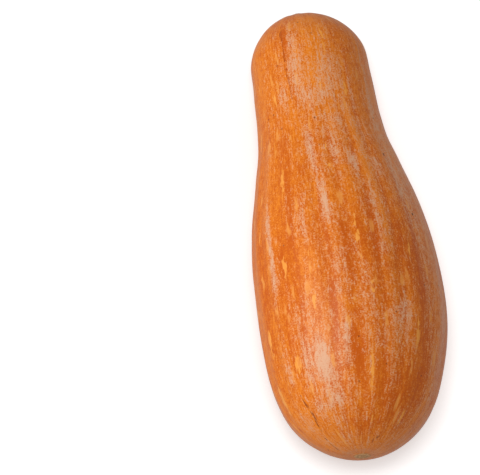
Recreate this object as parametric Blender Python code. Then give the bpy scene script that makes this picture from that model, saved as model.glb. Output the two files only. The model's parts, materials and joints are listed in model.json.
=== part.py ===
"""A whole butternut squash lying on its side on a level surface.

Metres, +Z up. The long axis runs along Y with the blossom end at -Y and the
stem at +Y. The origin is at the bottom centre of the bounding box.
"""

import math

import bmesh
import bpy
from mathutils import Matrix, Vector

# Fruit: places along it run from 0 at the blossom end to 1 at the stem end.
# Fullness is the radius divided by that of a unit ball at the same place, so
# an ellipsoid has one fullness all along and both ends close by themselves.
LENGTH = 0.378
FULLNESS = (
    (0.00, 0.1028),
    (0.05, 0.1008),
    (0.15, 0.0902),
    (0.30, 0.0792),
    (0.50, 0.0678),
    (0.70, 0.0560),
    (0.82, 0.0635),
    (0.92, 0.0825),
    (1.00, 0.0942),
)
SIDE_BOW = (
    (0.00, 0.0000),
    (0.10, 0.0004),
    (0.30, 0.0051),
    (0.50, 0.0050),
    (0.70, 0.0038),
    (0.90, 0.0037),
    (1.00, 0.0000),
)
FLATTENING = 0.97  # height of a cross-section over its width, from lying while it grew

# Shallow grooves between the ribs, by their turn from the top towards +X.
GROOVES_DEG = (-63, -44, -16, 0, 16, 29, 47, 70, 93, 118, 141, 163, 197, 221, 243, 264, 281)
GROOVE_DEPTH = 0.0011
GROOVE_HALF_WIDTH_DEG = 5.0
GROOVES_START = 0.04
GROOVES_END = 0.80

# Rest: belly and neck both touch the ground, which presses a small flat on each.
REST_TILT_DEG = 7.5
GROUND_PRESS = 0.0011

# Stem stub: a dry five-sided stump, cut short, on a flat seat at the stem end.
SEAT_DEPTH = 0.0018
STUB_GAP = 0.0003
STUB_BASE_RADIUS = 0.0120
STUB_TOP_RADIUS = 0.0085
STUB_HEIGHT = 0.0030
STUB_LOBES = 5
STUB_LOBE_SHARE = 0.09
STUB_HOLLOW = 0.0010

FRUIT_SEGMENTS = 72
FRUIT_RINGS = 48
STUB_SEGMENTS = 40
STUB_LEVELS = (0.12, 0.35, 0.65, 0.90)


def clear_scene():
    for thing in list(bpy.data.objects):
        bpy.data.objects.remove(thing, do_unlink=True)


def named_collection(name):
    collection = bpy.data.collections.new(name)
    bpy.context.scene.collection.children.link(collection)
    return collection


def principled(name, colour, roughness):
    material = bpy.data.materials.new(name)
    material.use_nodes = True
    shader = material.node_tree.nodes["Principled BSDF"]
    shader.inputs["Base Color"].default_value = (*colour, 1.0)
    shader.inputs["Roughness"].default_value = roughness
    shader.inputs["Metallic"].default_value = 0.0
    return material


def skin():
    """Waxy, mottled orange-tan rind."""
    return principled("rind", (0.56, 0.19, 0.055), 0.42)


def cork():
    """Dry, grey-tan stem wood."""
    return principled("stem_cork", (0.36, 0.25, 0.13), 0.80)


def curve_at(stations, place):
    """Value at a place on a smooth curve through the stations, a cubic between each two."""
    places = [station[0] for station in stations]
    values = [station[1] for station in stations]
    last = len(stations) - 1
    index = min(max(sum(place >= p for p in places) - 1, 0), last - 1)

    def slope(i):
        before = max(i - 1, 0)
        after = min(i + 1, last)
        return (values[after] - values[before]) / (places[after] - places[before])

    span = places[index + 1] - places[index]
    u = (place - places[index]) / span
    start = values[index] * (1 + 2 * u) * (1 - u) ** 2 + slope(index) * span * u * (1 - u) ** 2
    end = values[index + 1] * u * u * (3 - 2 * u) + slope(index + 1) * span * u * u * (u - 1)
    return start + end


def smooth_step(low, high, value):
    share = min(max((value - low) / (high - low), 0.0), 1.0)
    return share * share * (3 - 2 * share)


def groove_depth(place, turn_deg):
    """How far the rind is drawn in at this place and turn; grooves fade out at both ends."""
    fade_in = smooth_step(0.0, GROOVES_START, place)
    fade_out = 1 - smooth_step(GROOVES_END - 0.25, GROOVES_END, place)
    depth = 0.0
    for groove in GROOVES_DEG:
        apart = (turn_deg - groove + 180) % 360 - 180
        depth += math.exp(-((apart / GROOVE_HALF_WIDTH_DEG) ** 2))
    return GROOVE_DEPTH * fade_in * fade_out * depth


def on_fruit(direction):
    """Point of the upright-grown fruit for a point of the unit ball, with the axis along Y."""
    place = (1 + direction.y) / 2
    ring = math.hypot(direction.x, direction.z)
    turn = math.atan2(direction.x, direction.z)
    radius = curve_at(FULLNESS, place) * ring
    radius -= groove_depth(place, math.degrees(turn)) * ring
    return Vector(
        (
            curve_at(SIDE_BOW, place) + radius * math.sin(turn),
            min(place * LENGTH, LENGTH - SEAT_DEPTH) - LENGTH / 2,
            radius * math.cos(turn) * FLATTENING,
        )
    )


def fruit_mesh():
    mesh = bmesh.new()
    pole_to_y = Matrix.Rotation(math.radians(-90), 4, "X")
    bmesh.ops.create_uvsphere(
        mesh, u_segments=FRUIT_SEGMENTS, v_segments=FRUIT_RINGS, radius=1, matrix=pole_to_y
    )
    for vert in mesh.verts:
        vert.co = on_fruit(vert.co)
    return mesh


def stub_point(turn, height, inset):
    """Point of the stub: flared at its foot, five-lobed, and hollow in the middle of its cut top."""
    flare = (1 - height) ** 2
    radius = STUB_TOP_RADIUS + (STUB_BASE_RADIUS - STUB_TOP_RADIUS) * flare
    lobes = 1 + STUB_LOBE_SHARE * math.cos(STUB_LOBES * turn)
    drop = STUB_HOLLOW * (1 - inset)
    along = LENGTH / 2 - SEAT_DEPTH + STUB_GAP + height * STUB_HEIGHT - drop
    return Vector((radius * lobes * inset * math.sin(turn), along, radius * lobes * inset * math.cos(turn)))


def stub_mesh():
    mesh = bmesh.new()
    foot_to_origin = Matrix.Translation((0, 0, 0.5))
    bmesh.ops.create_cone(
        mesh,
        cap_ends=True,
        segments=STUB_SEGMENTS,
        radius1=1,
        radius2=1,
        depth=1,
        matrix=foot_to_origin,
    )
    for level in STUB_LEVELS:
        everything = mesh.verts[:] + mesh.edges[:] + mesh.faces[:]
        bmesh.ops.bisect_plane(mesh, geom=everything, plane_co=(0, 0, level), plane_no=(0, 0, 1))
    cut_top = max(mesh.faces, key=lambda face: face.calc_center_median().z)
    bmesh.ops.inset_individual(mesh, faces=[cut_top], thickness=0.18)
    bmesh.ops.inset_individual(mesh, faces=[cut_top], thickness=0.40)
    for vert in mesh.verts:
        turn = math.atan2(vert.co.x, vert.co.y)
        vert.co = stub_point(turn, vert.co.z, math.hypot(vert.co.x, vert.co.y))
    bmesh.ops.recalc_face_normals(mesh, faces=mesh.faces)
    return mesh


def tilt(mesh):
    """Lays the squash down: the narrow neck sinks until it rests as the belly does."""
    bmesh.ops.rotate(
        mesh,
        verts=mesh.verts,
        cent=(0, 0, 0),
        matrix=Matrix.Rotation(math.radians(-REST_TILT_DEG), 3, "X"),
    )


def span(meshes, axis):
    values = [vert.co[axis] for mesh in meshes for vert in mesh.verts]
    return min(values), max(values)


def set_on_ground(fruit, stub):
    """Moves both to the frame's origin and presses the fruit's lowest skin flat."""
    both = (fruit, stub)
    middle_x = sum(span(both, 0)) / 2
    middle_y = sum(span(both, 1)) / 2
    lowest = span(both, 2)[0]
    for mesh in both:
        for vert in mesh.verts:
            vert.co -= Vector((middle_x, middle_y, lowest + GROUND_PRESS))
    for vert in fruit.verts:
        vert.co.z = max(vert.co.z, 0.0)


def object_from(mesh, name, material, collection):
    data = bpy.data.meshes.new(name)
    mesh.to_mesh(data)
    mesh.free()
    data.shade_smooth()
    data.materials.append(material)
    thing = bpy.data.objects.new(name, data)
    collection.objects.link(thing)
    return thing


clear_scene()
squash = named_collection("butternut_squash")
fruit_shape = fruit_mesh()
stub_shape = stub_mesh()
tilt(fruit_shape)
tilt(stub_shape)
set_on_ground(fruit_shape, stub_shape)
object_from(fruit_shape, "fruit", skin(), squash)
object_from(stub_shape, "stem_stub", cork(), squash)
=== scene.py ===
import json
import math

import bpy
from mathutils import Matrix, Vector

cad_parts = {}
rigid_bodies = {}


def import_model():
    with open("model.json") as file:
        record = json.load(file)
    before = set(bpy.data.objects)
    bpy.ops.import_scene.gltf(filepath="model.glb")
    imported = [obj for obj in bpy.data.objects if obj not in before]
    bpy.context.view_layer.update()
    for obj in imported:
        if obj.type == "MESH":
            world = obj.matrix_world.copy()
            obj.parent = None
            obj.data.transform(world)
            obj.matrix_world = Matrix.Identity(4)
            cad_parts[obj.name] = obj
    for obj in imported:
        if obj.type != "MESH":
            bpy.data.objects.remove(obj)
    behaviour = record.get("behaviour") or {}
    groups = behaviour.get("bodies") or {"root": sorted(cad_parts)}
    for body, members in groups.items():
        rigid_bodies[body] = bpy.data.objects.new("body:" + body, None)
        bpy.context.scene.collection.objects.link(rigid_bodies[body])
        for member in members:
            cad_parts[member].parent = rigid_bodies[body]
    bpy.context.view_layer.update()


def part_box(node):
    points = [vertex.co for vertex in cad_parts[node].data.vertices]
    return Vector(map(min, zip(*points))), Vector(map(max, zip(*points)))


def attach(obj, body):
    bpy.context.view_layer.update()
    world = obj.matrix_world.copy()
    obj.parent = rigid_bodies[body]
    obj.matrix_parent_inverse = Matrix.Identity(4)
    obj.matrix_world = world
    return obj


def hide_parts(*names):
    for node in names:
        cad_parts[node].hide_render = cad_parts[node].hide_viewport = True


for thing in list(bpy.data.objects):
    bpy.data.objects.remove(thing)
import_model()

# ---------------------------------------------------------------------------------------------
# Fruit. The whole squash apart from its stem: a waisted, blunt-ended berry with a tough waxy
# rind. It is grown here from a ball: the rind is drawn in between its ribs, bent a little
# sideways, laid on the ground on belly and neck, and scarred where the blossom fell off.
# ---------------------------------------------------------------------------------------------
LENGTH = 0.378
FULLEST = 0.12
FULLNESS = (
    (0.00, 0.1028),
    (0.05, 0.1008),
    (0.15, 0.0902),
    (0.30, 0.0792),
    (0.50, 0.0678),
    (0.62, 0.0595),
    (0.70, 0.0560),
    (0.82, 0.0635),
    (0.92, 0.0825),
    (1.00, 0.0942),
)
MOST_BOW = 0.01
SIDE_BOW = (
    (0.00, 0.0000),
    (0.10, 0.0004),
    (0.30, 0.0051),
    (0.50, 0.0050),
    (0.70, 0.0038),
    (0.90, 0.0037),
    (1.00, 0.0000),
)
FLATTENING = 0.97
GROOVES_DEG = (-63, -44, -16, 0, 16, 29, 47, 70, 93, 118, 141, 163, 197, 221, 243, 264, 281)
GROOVE_DEPTH = 0.0007
GROOVE_HALF_WIDTH_DEG = 5.0
RIB_RISE = 0.0006  # how far the ribs stand out between the grooves
REST_TILT_DEG = 7.5
GROUND_PRESS = 0.0011
SEAT_DEPTH = 0.0018
SCAR_SIDE = -0.050  # the blossom scar's place on the unit ball, seen from the blossom end
SCAR_UP = 0.015
SCAR_RADIUS = 0.0068
STUB_RADIUS = 0.0120
UNROLL_RADIUS = 0.06  # the rind's pattern is laid out on a tube of this radius
RIND_SEGMENTS = 330
RIND_RINGS = 296


class Flow:
    """One socket of a node tree. Python's signs on it add Math nodes; node() adds any other."""

    def __init__(self, tree, output=None):
        self.tree = tree
        self.output = output

    def node(self, kind, settings=None, inputs=None, output=0):
        made = self.tree.nodes.new(kind)
        for name, value in (settings or {}).items():
            if name == "stops":
                draw_curve(made.mapping, value)
            else:
                setattr(made, name, value)
        for key, value in (inputs or {}).items():
            if isinstance(value, Flow):
                self.tree.links.new(value.output, made.inputs[key])
            else:
                made.inputs[key].default_value = value
        return Flow(self.tree, made.outputs[output])

    def also(self, output):
        return Flow(self.tree, self.output.node.outputs[output])

    def math(self, operation, *values):
        return self.node("ShaderNodeMath", {"operation": operation}, dict(enumerate(values)))

    def vector(self, operation, *values, output=0):
        return self.node("ShaderNodeVectorMath", {"operation": operation}, dict(enumerate(values)), output)

    def rise(self, low, high):
        """0 below low, 1 above high, and smooth between them."""
        return self.node(
            "ShaderNodeMapRange", {"interpolation_type": "SMOOTHSTEP"}, {0: self, 1: low, 2: high}
        )

    def noise(self, scale, detail=2.0, roughness=0.5):
        """Cloudy noise from 0 to 1 over this vector; scale is one number or one for each axis."""
        stretch = scale if isinstance(scale, tuple) else (scale, scale, scale)
        stretched = self.vector("MULTIPLY", self, stretch)
        return self.node(
            "ShaderNodeTexNoise",
            {},
            {"Vector": stretched, "Scale": 1.0, "Detail": detail, "Roughness": roughness},
        )

    def ragged(self, scale, most):
        """This vector pushed about by cloudy noise, so that what is drawn over it has torn edges."""
        cloud = self.noise(scale, 2.0).also("Color")
        push = self.vector("SUBTRACT", cloud, (0.5, 0.5, 0.5))
        return self.vector("MULTIPLY_ADD", push, (most, most, most), self)

    def tint(self, other, share):
        """This colour with the other one laid over it, by share."""
        settings = {"data_type": "RGBA", "clamp_factor": True}
        return self.node("ShaderNodeMix", settings, {0: share, 6: self, 7: other}, 2)

    def __add__(self, other):
        return self.math("ADD", self, other)

    def __sub__(self, other):
        return self.math("SUBTRACT", self, other)

    def __rsub__(self, other):
        return self.math("SUBTRACT", other, self)

    def __mul__(self, other):
        return self.math("MULTIPLY", self, other)

    def __truediv__(self, other):
        return self.math("DIVIDE", self, other)

    def __pow__(self, other):
        return self.math("POWER", self, other)

    def __neg__(self):
        return self.math("MULTIPLY", self, -1.0)

    __radd__ = __add__
    __rmul__ = __mul__


def draw_curve(mapping, stops):
    """Draws a Float Curve through the stops."""
    points = mapping.curves[0].points
    for stop in stops[1:-1]:
        points.new(*stop)
    points[0].location = stops[0]
    points[len(points) - 1].location = stops[-1]
    for point in points:
        point.handle_type = "AUTO"
    mapping.update()


def shares(stations, lowest, highest):
    """The stations with their values as shares of the way from lowest to highest."""
    return [(place, (value - lowest) / (highest - lowest)) for place, value in stations]


def unrolled_point(turn_deg, along_mm):
    """Where a place on the rind lies on the pattern's tube."""
    turn = math.radians(turn_deg)
    return (UNROLL_RADIUS * math.sin(turn), UNROLL_RADIUS * math.cos(turn), along_mm / 1000)


def nearness(rind, turn_deg, along_mm, half_width_deg, half_length_mm):
    """Square of the distance from a spot's middle, in the spot's own half sizes."""
    away = rind.vector("SUBTRACT", rind, unrolled_point(turn_deg, along_mm))
    across = 1 / (math.radians(half_width_deg) * UNROLL_RADIUS)
    away = away.vector("MULTIPLY", away, (across, across, 1000 / half_length_mm))
    return away.vector("DOT_PRODUCT", away, away, output="Value")


def over_all(spots, rind):
    """The most that any of these spots covers: 1 at a spot's middle, 0 at its rim."""
    most = None
    for spot in spots:
        inside = 1 - nearness(rind, *spot)
        most = inside if most is None else most.math("MAXIMUM", most, inside)
    return most


def soft_spots(rind, spots):
    """Sum of soft oval spots, each its turn, place along, half width, half length and strength."""
    total = None
    for turn_deg, along_mm, half_width_deg, half_length_mm, strength in spots:
        far = nearness(rind, turn_deg, along_mm, half_width_deg, half_length_mm)
        spot = (-far).math("EXPONENT", -far) * strength
        total = spot if total is None else total + spot
    return total


def new_tree(name, sizes, places=()):
    """A Geometry Nodes tree with a named number for each size and a vector for each place."""
    tree = bpy.data.node_groups.new(name, "GeometryNodeTree")
    tree.interface.new_socket("Geometry", in_out="OUTPUT", socket_type="NodeSocketGeometry")
    for size in sizes:
        tree.interface.new_socket(size, in_out="INPUT", socket_type="NodeSocketFloat")
    for place in places:
        tree.interface.new_socket(place, in_out="INPUT", socket_type="NodeSocketVector")
    tree.interface.new_socket("Material", in_out="INPUT", socket_type="NodeSocketMaterial")
    inputs = tree.nodes.new("NodeGroupInput")
    return tree, {socket.name: Flow(tree, socket) for socket in inputs.outputs if socket.name}


def close_tree(shape, material):
    """Ends a tree as every tree here ends: smooth, realized, and with its material."""
    shape = shape.node("GeometryNodeSetShadeSmooth", {}, {"Geometry": shape})
    shape = shape.node("GeometryNodeRealizeInstances", {}, {"Geometry": shape})
    shape = shape.node("GeometryNodeSetMaterial", {}, {"Geometry": shape, "Material": material})
    end = shape.tree.nodes.new("NodeGroupOutput")
    shape.tree.links.new(shape.output, end.inputs[0])


def grown(name, tree, values):
    """The tree's result as a plain mesh object of this name."""
    seed = bpy.data.objects.new(name + "_seed", bpy.data.meshes.new(name + "_seed"))
    bpy.context.scene.collection.objects.link(seed)
    modifier = seed.modifiers.new("grow", "NODES")
    modifier.node_group = tree
    for item in tree.interface.items_tree:
        if item.name in values:
            modifier[item.identifier] = values[item.name]
    bpy.context.view_layer.update()
    graph = bpy.context.evaluated_depsgraph_get()
    mesh = bpy.data.meshes.new_from_object(seed.evaluated_get(graph))
    mesh.name = name
    bpy.data.objects.remove(seed)
    thing = bpy.data.objects.new(name, mesh)
    bpy.context.scene.collection.objects.link(thing)
    return thing


def srgb(red, green, blue):
    """A colour given in the 0 to 255 steps of a paint chart, as the shader's linear numbers."""
    steps = [value / 255 for value in (red, green, blue)]
    linear = [s / 12.92 if s < 0.04045 else ((s + 0.055) / 1.055) ** 2.4 for s in steps]
    return (*linear, 1.0)


def new_material(name):
    """A material with its shader, its tree as a Flow, and its name."""
    material = bpy.data.materials.new(name)
    material.use_nodes = True
    return material, material.node_tree.nodes["Principled BSDF"], Flow(material.node_tree)


def feed(shader, name, flow):
    shader.id_data.links.new(flow.output, shader.inputs[name])


# Where the pale waxy bloom lies thick, and where pale spots stand in for light: a painted highlight on the
# belly near the blossom end and a painted sheen down the right flank. Each: turn, millimetres from the
# blossom end, half width in degrees, half length in millimetres, strength.
BLOOM_AND_SHEEN = (
    (-14, 220, 2.5, 18, 0.5),
    (-11, 188, 2.6, 20, 0.8),
    (-55, 178, 3.2, 24, 0.9),
    (-53, 138, 3.2, 22, 0.9),
    (-28, 172, 2.4, 12, 0.4),
    (-21, 305, 5.0, 26, 0.6),
    (-14, 282, 6.0, 14, 0.4),
    (20, 160, 2.6, 22, 0.5),
    (47, 205, 7.0, 34, 0.8),
    # Painted highlight, partly bloom: a pale spot where the soft box's highlight falls on the belly.
    (-30, 64, 9.0, 16, 0.9),
    (-34, 95, 6.0, 20, 0.35),
    (-11, 125, 2.8, 26, 0.45),
    (-10, 70, 3.0, 16, 0.6),
    (28, 84, 6.0, 22, 0.5),
    (3, 232, 4.0, 16, 0.4),
    (7, 112, 2.6, 24, 0.4),
    (20, 236, 5.0, 16, 0.35),
    (14, 300, 7.0, 14, 0.4),
    (-22, 38, 9.0, 12, 0.5),
    (0, 283, 13, 9, 0.55),
    (9, 257, 8.0, 8, 0.5),
    (12, 219, 4.5, 7, 0.8),
    (33, 214, 5.0, 9, 0.45),
    (53, 290, 2.4, 50, 0.6),
    (51, 120, 1.4, 40, 0.3),
    (-38, 30, 9.0, 5, 0.5),
    (-35, 286, 4.5, 13, 0.75),
    # Painted highlight: the brightest pale spot, in the middle of the soft box's highlight.
    (-25, 61, 3.6, 12, 1.05),
    (-54, 60, 3.0, 12, 0.6),
    (-62, 26, 7.0, 8, 0.5),
    (-11, 181, 2.2, 10, 0.5),
    (4, 310, 12, 16, 0.3),
    (-14, 312, 5.0, 14, 0.35),
    (32, 212, 3.0, 8, 0.3),
    (-16, 242, 3.0, 14, 0.6),
    (-8, 80, 3.0, 9, 0.6),
    # Painted highlight: these two pale spots widen the soft box's highlight.
    (-38, 62, 2.6, 18, 0.6),
    (-22, 54, 3.0, 9, 0.5),
    (-25, 34, 16, 4, 0.35),
    (28, 91, 8.0, 6, 0.4),
    (-56, 205, 2.6, 44, 0.5),
    (-16, 226, 2.8, 14, 0.5),
    (5, 238, 3.0, 12, 0.5),
    (49, 140, 2.6, 50, 0.5),
    (50, 260, 4.0, 20, 0.4),
    (-8, 172, 4.0, 8, 0.4),
    (20, 178, 3.0, 8, 0.35),
    (15, 214, 3.0, 18, 0.4),
    (3, 134, 1.8, 14, 0.7),
    (2, 100, 1.4, 12, 0.4),
    (20, 190, 2.6, 9, 0.35),
    (-54, 160, 2.0, 22, 0.4),
    (-19, 340, 5.0, 12, 0.3),
    # Partly painted sheen: a pale veil down the right flank, where the rind reflects the bright room at a
    # grazing angle, laid over real bloom.
    (61, 150, 8.0, 120, 0.5),
    (72, 90, 6.0, 60, 0.5),
    (110, 200, 18, 60, 0.5),
    (150, 90, 14, 50, 0.5),
    (-95, 120, 10, 60, 0.5),
    (-135, 210, 16, 60, 0.5),
)
# Broad sides where it is thin. On the left flank and round the stem end it is thinned further as painted
# shade and painted reflection: the bare deep orange there stands in for shade, for orange light thrown back
# from nearby, and for a weaker grazing sheen.
THIN_BLOOM_AND_SHADE = (
    # Painted shade and reflection: the left flank bared to deep orange.
    (-66, 180, 20, 150, 0.42),
    (-44, 190, 12, 60, 0.16),
    (-38, 130, 7.0, 34, 0.22),
    (-46, 335, 14, 22, 0.15),
    (32, 330, 12, 30, 0.2),
    # Painted shade and reflection: the left edge bared to deep orange.
    (-76, 200, 9.0, 160, 0.5),
    # Painted shade: bloom thinned round the stem end to damp the grazing sheen there.
    (-30, 372, 80, 14, 0.5),
    (-25, 347, 12, 8, 0.35),
    (-48, 95, 4.0, 14, 0.35),
    (-26, 146, 4.0, 12, 0.3),
    (-43, 190, 3.0, 14, 0.3),
    (30, 120, 9.0, 36, 0.15),
    (30, 34, 16, 20, 0.25),
    (40, 148, 3.0, 60, 0.45),
    (47, 45, 5.0, 22, 0.4),
    (9, 150, 2.6, 30, 0.3),
    (12, 40, 5.0, 16, 0.3),
    (-28, 315, 2.0, 8, 0.4),
    (-46, 308, 4.0, 14, 0.4),
    (-5, 322, 8.0, 8, 0.3),
    (25, 220, 4.0, 18, 0.3),
    (-24, 130, 3.0, 10, 0.3),
    # Painted shade and reflection on the left edge.
    (-72, 95, 8.0, 34, 0.4),
    # Painted shade: bloom thinned round the stem end to damp the grazing sheen there.
    (-30, 365, 80, 12, 0.3),
    # Painted shade and reflection: this spot and the next bare the left edge to deep orange.
    (-78, 120, 7.0, 120, 0.4),
    (-76, 40, 9.0, 40, 0.3),
)
# Where the rind is bare of bloom and at its deepest orange; below nothing, where it is palest.
DEEP = (
    (-27, 338, 2.4, 18, 0.8),
    (-24, 298, 1.2, 14, 0.6),
    (-2, 148, 5.5, 24, 0.7),
    (8, 152, 2.0, 34, 0.7),
    (15, 152, 2.6, 36, 0.8),
    (32, 148, 4.5, 28, 0.6),
    (-3, 64, 4.0, 14, 0.8),
    (28, 36, 17, 20, 0.6),
    (43, 110, 3.4, 44, 0.75),
    (47, 50, 4.0, 26, 0.4),
    (-36, 225, 9.0, 40, 0.4),
    (-44, 150, 5.0, 20, 0.5),
    (-66, 150, 5.0, 60, 0.6),
    (17, 232, 3.0, 12, 0.6),
    (-2, 12, 12, 8, 0.5),
    (85, 120, 10, 70, 0.5),
    (130, 280, 14, 40, 0.5),
    (-115, 260, 12, 50, 0.5),
    (170, 180, 12, 60, 0.4),
    (-36, 120, 4.0, 56, 0.4),
    (-15, 105, 3.0, 56, 0.35),
    (23, 235, 3.6, 55, -0.6),
    (-2, 305, 15, 40, -0.35),
    (49, 240, 6.0, 40, -0.5),
    (-34, 150, 2.6, 60, 0.4),
    (-14, 110, 2.6, 50, 0.2),
    (-2, 75, 3.0, 40, 0.3),
    (-48, 90, 5.0, 40, 0.25),
    (25, 200, 3.2, 60, -0.35),
    (8, 310, 4.0, 30, -0.3),
    (-18, 330, 3.0, 30, -0.3),
    (-5, 145, 1.8, 20, -0.5),
    (12, 222, 3.0, 30, -0.25),
    (6, 45, 2.0, 16, -0.5),
    (-64, 18, 18, 20, -0.5),
    (0, 4, 70, 8, -0.4),
    (20, 60, 3.0, 30, -0.25),
    (-2, 355, 20, 10, -0.3),
    (62, 260, 8.0, 60, -0.3),
)

squash_tree, size = new_tree(
    "squash_growth",
    (
        "Length",
        "Flattening",
        "Groove Depth",
        "Groove Half Width",
        "Rest Tilt",
        "Ground Press",
        "Seat Depth",
        "Scar Radius",
        "Stub Radius",
        "Blossom End",
    ),
)
ball = size["Length"].node(
    "GeometryNodeMeshUVSphere",
    {},
    {"Segments": RIND_SEGMENTS, "Rings": RIND_RINGS, "Radius": 1.0},
)
at = ball.node("GeometryNodeInputPosition")
side = at.node("ShaderNodeSeparateXYZ", {}, {0: at})
up = -side.also("Y")
axial = side.also("Z")
place = axial * 0.5 + 0.5
ring = (1 - axial * axial).math("MAXIMUM", 1 - axial * axial, 0.0) ** 0.5

# The ribs run to the blossom scar, which sits off the fruit's own axis.
near_scar = 1 - place.rise(0.0, 0.16)
turn = side.math("ARCTAN2", side - near_scar * SCAR_SIDE, up - near_scar * SCAR_UP)
tube = side.node(
    "ShaderNodeCombineXYZ",
    {},
    {
        "X": turn.math("SINE", turn) * UNROLL_RADIUS,
        "Y": turn.math("COSINE", turn) * UNROLL_RADIUS,
        "Z": place * size["Length"],
    },
)
wander = (tube.noise((16, 16, 9), 1.0) - 0.5) * 9.0
turn_deg = turn.math("DEGREES", turn) + wander
grooves = None
for groove_deg in GROOVES_DEG:
    apart = turn_deg.math("WRAP", turn_deg - groove_deg, 180.0, -180.0) / size["Groove Half Width"]
    groove = apart.math("EXPONENT", -(apart * apart))
    grooves = groove if grooves is None else grooves + groove
grooves = grooves * place.rise(0.0, 0.04) * (1 - place.rise(0.55, 0.85))
uneven = tube.noise((30, 30, 7), 1.0) * 1.4 + 0.3
drawn_in = grooves * uneven * size["Groove Depth"]
lumps = (at.noise(2.2, 2.0) - 0.5) * 0.0014 + RIB_RISE
dents = (tube.noise((90, 90, 30), 2.0) - 0.5) * 0.0006

fullness = place.node("ShaderNodeFloatCurve", {"stops": shares(FULLNESS, 0, FULLEST)}, {"Value": place})
bow = place.node("ShaderNodeFloatCurve", {"stops": shares(SIDE_BOW, -MOST_BOW, MOST_BOW)}, {"Value": place})
radius = (fullness * FULLEST - drawn_in + lumps + dents) * ring
round_side = side / ring.math("MAXIMUM", ring, 1e-6)
round_up = up / ring.math("MAXIMUM", ring, 1e-6)

# The scar is a corky button in a shallow dish. The stem's seat is a flat, with puckered skin
# round it.
off_side = side - SCAR_SIDE
off_up = up - SCAR_UP
from_scar = (off_side * off_side + off_up * off_up) ** 0.5 * FULLNESS[0][1] + axial.rise(-0.6, 0.0)
scar_share = from_scar / size["Scar Radius"]
crust = (at.noise(60.0, 3.0) - 0.5) * 0.0010 + 0.0006
dish = (1 - scar_share.rise(0.9, 2.6)) * 0.0012 - (1 - scar_share.rise(0.75, 1.05)) * crust
stem_share = radius / size["Stub Radius"] + (1 - place.rise(0.5, 0.9)) * 20.0
fold_wave = turn.math("SINE", turn * 15.0 + (tube.noise((60, 60, 20), 1.0) - 0.5) * 8.0)
folds = (fold_wave + 0.6) * 0.0004 * (stem_share.rise(0.9, 1.15) - stem_share.rise(1.3, 2.6))
seat = size["Length"] - size["Seat Depth"]
along = side.math("SMOOTH_MIN", place * size["Length"], seat, 0.0012) + dish - folds
shaped = side.node(
    "ShaderNodeCombineXYZ",
    {},
    {
        "X": (bow * 2 - 1) * MOST_BOW + radius * round_side,
        "Y": along - size["Length"] * 0.5,
        "Z": radius * round_up * size["Flattening"],
    },
)
lying = shaped.node(
    "ShaderNodeVectorRotate",
    {"rotation_type": "X_AXIS"},
    {"Vector": shaped, "Angle": -size["Rest Tilt"]},
)

# What the rind's pattern needs is kept on the mesh.
fruit_shape = ball
for name, kind, value in (
    ("unrolled", "FLOAT_VECTOR", tube),
    # The bloom attribute holds real bloom together with the painted highlight and sheen, less the painted
    # shade of the thinned sides.
    ("bloom", "FLOAT", soft_spots(tube, BLOOM_AND_SHEEN) - soft_spots(tube, THIN_BLOOM_AND_SHADE)),
    ("deep", "FLOAT", soft_spots(tube, DEEP)),
    ("groove", "FLOAT", grooves),
    ("from_scar", "FLOAT", scar_share),
    ("from_stem", "FLOAT", stem_share),
):
    fruit_shape = fruit_shape.node(
        "GeometryNodeStoreNamedAttribute",
        {"data_type": kind, "domain": "POINT"},
        {"Geometry": fruit_shape, "Name": name, "Value": value},
    )
fruit_shape = ball.node("GeometryNodeSetPosition", {}, {"Geometry": fruit_shape, "Position": lying})

# Laid on the ground: centred across, blossom end at its place, and pressed a little flat below.
far_corner = fruit_shape.node("GeometryNodeBoundBox", {}, {"Geometry": fruit_shape}, "Max")
highest = side.node("ShaderNodeSeparateXYZ", {}, {0: far_corner})
lowest = side.node("ShaderNodeSeparateXYZ", {}, {0: far_corner.also("Min")})
shift = side.node(
    "ShaderNodeCombineXYZ",
    {},
    {
        "X": (highest + lowest) * -0.5,
        "Y": size["Blossom End"] - lowest.also("Y"),
        "Z": -lowest.also("Z") - size["Ground Press"],
    },
)
fruit_shape = ball.node("GeometryNodeSetPosition", {}, {"Geometry": fruit_shape, "Offset": shift})
laid = side.node("ShaderNodeSeparateXYZ", {}, {0: side.node("GeometryNodeInputPosition")})
pressed = side.node(
    "ShaderNodeCombineXYZ",
    {},
    {"X": laid, "Y": laid.also("Y"), "Z": laid.math("MAXIMUM", laid.also("Z"), 0.0)},
)
fruit_shape = ball.node("GeometryNodeSetPosition", {}, {"Geometry": fruit_shape, "Position": pressed})
close_tree(fruit_shape, size["Material"])

# Bright flecks, the gaps in the bloom that show bare yellow-orange rind: turn, millimetres from
# the blossom end, half width in degrees, half length in millimetres.
FLECKS = (
    (-40.0, 214, 1.9, 15),
    (-25.0, 144, 1.2, 7),
    (-26.0, 106, 1.2, 7),
    (-45.0, 65, 1.8, 9),
    (6.0, 50, 1.5, 17),
    (-68.0, 90, 2.2, 14),
    (-73.0, 48, 2.4, 16),
    (-44.0, 287, 1.4, 8),
    (25.0, 288, 1.3, 8),
    (1.0, 292, 0.9, 9),
    (11.0, 334, 0.9, 17),
    (-4.0, 214, 1.0, 6),
    (-3.0, 232, 0.7, 8),
    (5.0, 150, 0.7, 22),
    (9.5, 108, 0.9, 8),
    (38.0, 76, 1.3, 12),
    (28.0, 67, 0.7, 6),
    (37.5, 140, 0.9, 10),
    (-44.0, 140, 1.7, 10),
    (-31.0, 126, 0.8, 5),
    (40.0, 20, 1.0, 7),
    (9.0, 18, 0.9, 6),
    (-48.0, 250, 0.6, 12),
    (-72.0, 262, 1.8, 14),
    (100.0, 140, 1.6, 14),
    (126.0, 95, 1.8, 12),
    (-98.0, 180, 1.8, 15),
    (-120.0, 80, 1.6, 12),
    (160.0, 230, 1.5, 12),
)
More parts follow.
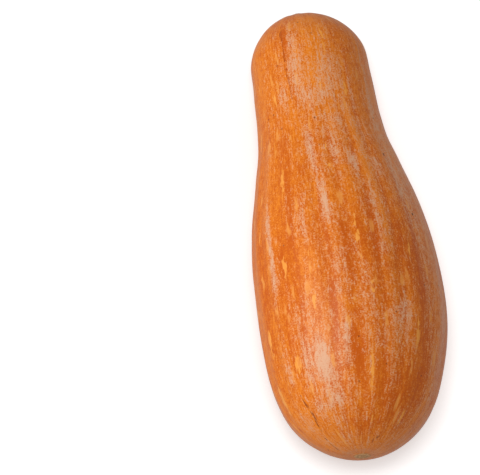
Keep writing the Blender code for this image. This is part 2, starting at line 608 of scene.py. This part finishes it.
# Healed scratches near the blossom end, each from one place to the next: turn, millimetres.
SCRATCHES = (
    ((-50, 43), (-46, 27)),
    ((-46, 27), (-49, 18)),
    ((-49, 18), (-55, 12)),
    ((-55, 12), (-60, 6)),
    ((17, 7), (25, 7)),
)
# Fine dark creases along the fruit, each from one place to the next.
CREASES = (
    ((-28.5, 350), (-27.5, 318)),
    ((-27.5, 312), (-26, 284)),
    ((-118, 300), (-114, 262)),
    ((140, 190), (137, 150)),
)
# Small pits: turn, millimetres, half width in degrees, half length in millimetres.
PITS = ((44, 227, 1.0, 1.5), (50, 173, 0.9, 1.2), (-8, 262, 0.6, 1.0), (132, 70, 1.2, 1.6))
# A raised seam on the neck: from one place to the next.
SEAM = ((51, 318), (54, 338))


def far_from_line(rind, start, end):
    """Distance in metres from a straight stroke on the pattern's tube."""
    first = unrolled_point(*start)
    reach = [b - a for a, b in zip(first, unrolled_point(*end))]
    length = math.sqrt(sum(r * r for r in reach))
    heading = tuple(r / length for r in reach)
    away = rind.vector("SUBTRACT", rind, first)
    run = away.vector("DOT_PRODUCT", away, heading, output="Value")
    run = run.math("MINIMUM", run.math("MAXIMUM", run, 0.0), length)
    parts = {axis: run * heading[i] for i, axis in enumerate("XYZ")}
    on_line = away.node("ShaderNodeCombineXYZ", {}, parts)
    return away.vector("DISTANCE", away, on_line, output="Value")


def kept(start, name, output="Fac"):
    """What the growth tree kept on the mesh under this name."""
    return start.node("ShaderNodeAttribute", {"attribute_name": name}, {}, output)


rind_paint, shader, start = new_material("squash_rind")
body = start.node("ShaderNodeTexCoord", {}, {}, "Object")
rind = kept(start, "unrolled", "Vector")
bloom_and_sheen = kept(start, "bloom")
bare = kept(start, "deep")
groove_line = kept(start, "groove")
from_scar = kept(start, "from_scar")
from_stem = kept(start, "from_stem")

specks = body.noise(900, 2.0, 0.7)
dashes = rind.noise((640, 640, 210), 2.0, 0.6)
threads = rind.noise((420, 420, 34), 2.0, 0.5)
mottle = body.noise(150, 3.0, 0.6)
streaks = rind.noise((120, 120, 13), 3.0, 0.55)
hairlines = rind.noise((270, 270, 15), 2.0, 0.5)
drift = rind.noise((26, 26, 12), 2.0, 0.5)

# Bloom, with the painted highlight and sheen laid in with it, lies in grains: where it is half thick, half
# of the specks carry it.
patchy = (streaks - 0.5) * 1.1 + (hairlines - 0.5) * 0.7
patchy = patchy + (mottle - 0.5) * 1.0 + (drift - 0.5) * 0.5
grain = (specks - 0.5) * 2.4 + (dashes - 0.5) * 1.8 + (threads - 0.5) * 0.9
bloom_and_sheen_share = (bloom_and_sheen - 0.09 - bare * 0.4 + patchy * 0.8 + grain * 1.5).rise(-0.25, 1.4)
deepness = (bare * 0.7 + groove_line * 0.15 + 0.38 + patchy * 0.7 - grain * 0.8).rise(-0.1, 1.15)
ripe = start.node(
    "ShaderNodeMix",
    {"data_type": "RGBA"},
    {0: deepness, 6: srgb(230, 129, 26), 7: srgb(197, 88, 2)},
    2,
)
# The pale bloom colour, which also paints the highlight and the sheen.
colour = ripe.tint(srgb(219, 165, 128), bloom_and_sheen_share)

# Flecks of bare yellow rind, the big ones each in its place and small ones scattered.
torn = rind.ragged((260, 260, 90), 0.0060)
fleck_share = (over_all(FLECKS, torn) + (dashes - 0.5) * 2.6).rise(0.0, 0.8)
cells = torn.vector("MULTIPLY", torn, (170, 170, 40))
small = cells.node("ShaderNodeTexVoronoi", {}, {"Vector": cells, "Scale": 1.0})
luck = small.node("ShaderNodeSeparateColor", {}, {0: small.also("Color")})
small_share = small.rise(0.34, 0.14) * luck.rise(0.45, 0.65)
colour = colour.tint(srgb(240, 158, 66), fleck_share * 0.85)
colour = colour.tint(srgb(236, 156, 74), small_share * 0.65)


def share_near(strokes, half_width, wander):
    """1 on any of these strokes and 0 beyond their ragged edges, widths in metres."""
    nearest = None
    for stroke in strokes:
        near = far_from_line(torn, *stroke)
        nearest = near if nearest is None else nearest.math("MINIMUM", nearest, near)
    return (nearest + (dashes - 0.5) * wander).rise(half_width, half_width * 0.2)


# Marks: scratches, creases, pits, a raised seam, dark pores.
scratch_share = share_near(SCRATCHES, 0.0011, 0.0016)
crease_share = share_near(CREASES, 0.0014, 0.0022)
pit_share = (over_all(PITS, rind) + (specks - 0.5) * 1.5).rise(-0.1, 0.6)
seam_share = far_from_line(torn, *SEAM).rise(0.0016, 0.0004)
pores = body.node("ShaderNodeTexVoronoi", {}, {"Vector": body, "Scale": 230.0})
pore_luck = pores.node("ShaderNodeSeparateColor", {}, {0: pores.also("Color")})
pore_share = pores.rise(0.24, 0.10) * pore_luck.rise(0.96, 0.98)
colour = colour.tint(srgb(214, 150, 96), seam_share * 0.5)
colour = colour.tint(srgb(158, 62, 6), crease_share * 0.7)
colour = colour.tint(srgb(140, 60, 14), scratch_share * 0.85)
colour = colour.tint(srgb(128, 60, 22), pore_share * 0.6)
colour = colour.tint(srgb(92, 46, 24), pit_share * 0.8)

# Cork: the blossom scar with its darker rings, and the skin puckered against the stem.
cork_share = 1 - (from_scar + (mottle - 0.5) * 0.5).rise(0.75, 1.1)
ring_wave = from_scar.math("SINE", (from_scar + (specks - 0.5) * 0.3) * 15.0)
cork = start.node(
    "ShaderNodeMix",
    {"data_type": "RGBA"},
    {0: specks.rise(0.35, 0.65), 6: srgb(176, 132, 84), 7: srgb(218, 178, 126)},
    2,
)
cork = cork.tint(srgb(128, 92, 62), ring_wave.rise(0.3, 0.95) * 0.6)
pucker_share = (from_stem + (threads - 0.5) * 1.6).rise(2.6, 1.0)
pucker = colour.tint(srgb(168, 134, 74), 0.75).tint(srgb(104, 82, 44), from_stem.rise(1.3, 0.95))
colour = colour.tint(pucker, pucker_share)
colour = colour.tint(cork, cork_share * 0.85)

feed(shader, "Base Color", colour)
roughness = 0.33 + bloom_and_sheen_share * 0.14 + (mottle - 0.5) * 0.16 + (cork_share + pucker_share) * 0.2
feed(shader, "Roughness", roughness)
shader.inputs["Specular IOR Level"].default_value = 0.2
fine = specks * 0.5 + dashes * 0.5 + mottle * 0.9 + streaks * 0.6 + seam_share * 0.8
cuts = pore_share * 0.8 + scratch_share * 1.4 + pit_share * 2.0
bump = start.node("ShaderNodeBump", {}, {"Height": fine - cuts, "Strength": 0.45, "Distance": 0.0008})
feed(shader, "Normal", bump)

fruit = grown(
    "fruit_rind",
    squash_tree,
    {
        "Length": LENGTH,
        "Flattening": FLATTENING,
        "Groove Depth": GROOVE_DEPTH,
        "Groove Half Width": GROOVE_HALF_WIDTH_DEG,
        "Rest Tilt": math.radians(REST_TILT_DEG),
        "Ground Press": GROUND_PRESS,
        "Seat Depth": SEAT_DEPTH,
        "Scar Radius": SCAR_RADIUS,
        "Stub Radius": STUB_RADIUS,
        "Blossom End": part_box("fruit")[0].y,
        "Material": rind_paint,
    },
)
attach(fruit, "root")
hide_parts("fruit")

# ---------------------------------------------------------------------------------------------
# Stem stub. What is left of the fruit's stalk: a five-sided stump of dry, fibrous cork, snapped
# off short. It is grown from a ball too, flared at its foot and sunken and split on its top.
# ---------------------------------------------------------------------------------------------
STUB_HEIGHT = 0.0030
STUB_SPREAD = (
    (0.00, 0.00),
    (0.20, 0.98),
    (0.26, 1.00),
    (0.38, 0.86),
    (0.58, 0.72),
    (0.66, 0.62),
    (0.80, 0.30),
    (1.00, 0.00),
)
STUB_RISE = (
    (0.00, 0.00),
    (0.24, 0.00),
    (0.32, 0.18),
    (0.50, 0.74),
    (0.60, 0.97),
    (0.66, 0.98),
    (0.80, 0.80),
    (1.00, 0.66),
)
STUB_SEGMENTS = 220
STUB_RINGS = 160
STUB_LOBES = 5
STUB_LOBE_SHARE = 0.09

stub_tree, size = new_tree(
    "stub_growth", ("Radius", "Height", "Lobes", "Lobe Share", "Rest Tilt"), ("Middle",)
)
ball = size["Radius"].node(
    "GeometryNodeMeshUVSphere",
    {},
    {"Segments": STUB_SEGMENTS, "Rings": STUB_RINGS, "Radius": 1.0},
)
at = ball.node("GeometryNodeInputPosition")
side = at.node("ShaderNodeSeparateXYZ", {}, {0: at})
up = -side.also("Y")
step = side.math("ARCCOSINE", -side.also("Z")) / math.pi
turn = side.math("ARCTAN2", side, up)
around = side.node(
    "ShaderNodeCombineXYZ",
    {},
    {"X": turn.math("SINE", turn), "Y": turn.math("COSINE", turn)},
)
fibres = around.noise(7.0, 3.0)
spread = step.node("ShaderNodeFloatCurve", {"stops": STUB_SPREAD}, {"Value": step})
rise = step.node("ShaderNodeFloatCurve", {"stops": STUB_RISE}, {"Value": step})
lobed = turn.math("COSINE", turn * size["Lobes"]) * size["Lobe Share"] + 1
on_top = step.rise(0.56, 0.66)
wall = step.rise(0.28, 0.40) * (1 - on_top)
crack_wave = turn.math("SINE", turn * 4.0 + fibres * 9.0) ** 2
split = crack_wave.rise(0.06, 0.0) * on_top * (1 - step.rise(0.86, 1.0))
radius = size["Radius"] * spread * lobed * (1 + (fibres - 0.5) * 0.22 * wall)
torn_up = (at.noise(9.0, 3.0) - 0.5) * 0.0012 * on_top - split * 0.0007
shaped = side.node(
    "ShaderNodeCombineXYZ",
    {},
    {
        "X": radius * turn.math("SINE", turn),
        "Y": rise * size["Height"] + torn_up,
        "Z": radius * turn.math("COSINE", turn),
    },
)
lying = shaped.node(
    "ShaderNodeVectorRotate",
    {"rotation_type": "X_AXIS"},
    {"Vector": shaped, "Angle": -size["Rest Tilt"]},
)
stub_shape = ball
for name, kind, value in (
    ("around", "FLOAT_VECTOR", around),
    ("step", "FLOAT", step),
    ("split", "FLOAT", split),
):
    stub_shape = stub_shape.node(
        "GeometryNodeStoreNamedAttribute",
        {"data_type": kind, "domain": "POINT"},
        {"Geometry": stub_shape, "Name": name, "Value": value},
    )
stub_shape = ball.node("GeometryNodeSetPosition", {}, {"Geometry": stub_shape, "Position": lying})
far_corner = stub_shape.node("GeometryNodeBoundBox", {}, {"Geometry": stub_shape}, "Max")
centre = side.vector("ADD", far_corner, far_corner.also("Min"))
centre = side.vector("MULTIPLY", centre, (0.5, 0.5, 0.5))
shift = side.vector("SUBTRACT", size["Middle"], centre)
stub_shape = ball.node("GeometryNodeSetPosition", {}, {"Geometry": stub_shape, "Offset": shift})
close_tree(stub_shape, size["Material"])

cork_paint, shader, start = new_material("stem_stub_cork")
body = start.node("ShaderNodeTexCoord", {}, {}, "Object")
around = kept(start, "around", "Vector")
step = kept(start, "step")
split = kept(start, "split")
grit = body.noise(1500, 3.0, 0.6)
blotch = body.noise(320, 3.0, 0.6)
strands = around.noise(26.0, 4.0, 0.6)
top_share = (step + (blotch - 0.5) * 0.1).rise(0.58, 0.66)
wood = start.node(
    "ShaderNodeMix",
    {"data_type": "RGBA"},
    {0: strands.rise(0.32, 0.68), 6: srgb(104, 80, 46), 7: srgb(178, 154, 104)},
    2,
)
wood = wood.tint(srgb(126, 122, 62), step.rise(0.5, 0.3) * blotch.rise(0.35, 0.65) * 0.6)
cut = start.node(
    "ShaderNodeMix",
    {"data_type": "RGBA"},
    {0: grit.rise(0.35, 0.65), 6: srgb(150, 120, 78), 7: srgb(206, 182, 136)},
    2,
)
cut = cut.tint(srgb(88, 64, 38), (step + (grit - 0.5) * 0.1).rise(0.84, 0.94) * 0.8)
wood = wood.tint(cut, top_share)
wood = wood.tint(srgb(58, 42, 26), split * 0.9)
feed(shader, "Base Color", wood)
feed(shader, "Roughness", 0.72 + (grit - 0.5) * 0.3)
shader.inputs["Specular IOR Level"].default_value = 0.3
relief = strands * 0.8 + grit * 0.5 + blotch * 0.5 - split
bump = start.node("ShaderNodeBump", {}, {"Height": relief, "Strength": 0.6, "Distance": 0.0005})
feed(shader, "Normal", bump)

low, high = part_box("stem_stub")
stub = grown(
    "stem_stub_cork",
    stub_tree,
    {
        "Radius": STUB_RADIUS,
        "Height": STUB_HEIGHT,
        "Lobes": STUB_LOBES,
        "Lobe Share": STUB_LOBE_SHARE,
        "Rest Tilt": math.radians(REST_TILT_DEG),
        "Middle": (low + high) / 2,
        "Material": cork_paint,
    },
)
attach(stub, "root")
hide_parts("stem_stub")

# ---------------------------------------------------------------------------------------------
# Floor. A sheet of white studio paper, lit from beneath so that only a faint shadow shows.
# ---------------------------------------------------------------------------------------------
FLOOR_HALF = 6.0
floor_mesh = bpy.data.meshes.new("floor")
corners = [(x * FLOOR_HALF, y * FLOOR_HALF, 0.0) for x, y in ((-1, -1), (1, -1), (1, 1), (-1, 1))]
floor_mesh.from_pydata(corners, [], [(0, 1, 2, 3)])
floor = bpy.data.objects.new("floor", floor_mesh)
bpy.context.scene.collection.objects.link(floor)
floor_paint, shader, start = new_material("studio_paper")
shader.inputs["Base Color"].default_value = srgb(242, 242, 242)
shader.inputs["Roughness"].default_value = 0.9
shader.inputs["Specular IOR Level"].default_value = 0.0
shader.inputs["Emission Color"].default_value = (1.0, 1.0, 1.0, 1.0)
shader.inputs["Emission Strength"].default_value = 0.36
floor.visible_diffuse = False
floor.visible_glossy = False
floor_mesh.materials.append(floor_paint)

# ---------------------------------------------------------------------------------------------
# Light. An even white room, a big soft box on the left that lights only the squash, and a lamp
# nearly overhead that lights only the paper, for the soft shadow round the blossom end.
# ---------------------------------------------------------------------------------------------
ROOM_LIGHT = 0.48
LAMPS_AIM_AT = Vector((0.0, 0.0, 0.07))
world = bpy.data.worlds.new("studio")
bpy.context.scene.world = world
world.use_nodes = True
world.node_tree.nodes["Background"].inputs["Color"].default_value = (1.0, 1.0, 1.0, 1.0)
world.node_tree.nodes["Background"].inputs["Strength"].default_value = ROOM_LIGHT


def soft_box(name, towards, away, size, power, lit_pieces):
    """A square lamp on the side that towards points to, lighting only these pieces."""
    light = bpy.data.lights.new(name, "AREA")
    light.shape = "SQUARE"
    light.size = size
    light.energy = power
    lamp = bpy.data.objects.new(name, light)
    bpy.context.scene.collection.objects.link(lamp)
    lamp.location = LAMPS_AIM_AT + Vector(towards).normalized() * away
    lamp.rotation_euler = (lamp.location - LAMPS_AIM_AT).to_track_quat("Z", "Y").to_euler()
    lit = bpy.data.collections.new(name + "_lights_these")
    for piece in lit_pieces:
        lit.objects.link(piece)
    lamp.light_linking.receiver_collection = lit


soft_box("key", (-0.68, 0.02, 0.73), 0.9, 0.65, 6.3, (fruit, stub))
soft_box("shadow_maker", (-0.10, -0.12, 0.99), 1.4, 0.3, 9.0, (floor,))

# ---------------------------------------------------------------------------------------------
# Camera. High above the blossom end, looking down and a little to the right.
# ---------------------------------------------------------------------------------------------
CAMERA_AZIMUTH = math.radians(-7.5)
CAMERA_ELEVATION = math.radians(75.0)
CAMERA_AWAY = 1.3
CAMERA_TARGET = Vector((-0.0774, 0.0033, 0.05))
CAMERA_LENS = 121.75
CAMERA_SENSOR = 36.0
lens = bpy.data.cameras.new("camera")
lens.lens = CAMERA_LENS
lens.sensor_width = CAMERA_SENSOR
camera = bpy.data.objects.new("camera", lens)
bpy.context.scene.collection.objects.link(camera)
level = math.cos(CAMERA_ELEVATION)
back = Vector(
    (
        math.sin(CAMERA_AZIMUTH) * level,
        -math.cos(CAMERA_AZIMUTH) * level,
        math.sin(CAMERA_ELEVATION),
    )
)
camera.location = CAMERA_TARGET + back * CAMERA_AWAY
camera.rotation_euler = back.to_track_quat("Z", "Y").to_euler()
bpy.context.scene.camera = camera
bpy.context.scene.view_settings.view_transform = "Standard"
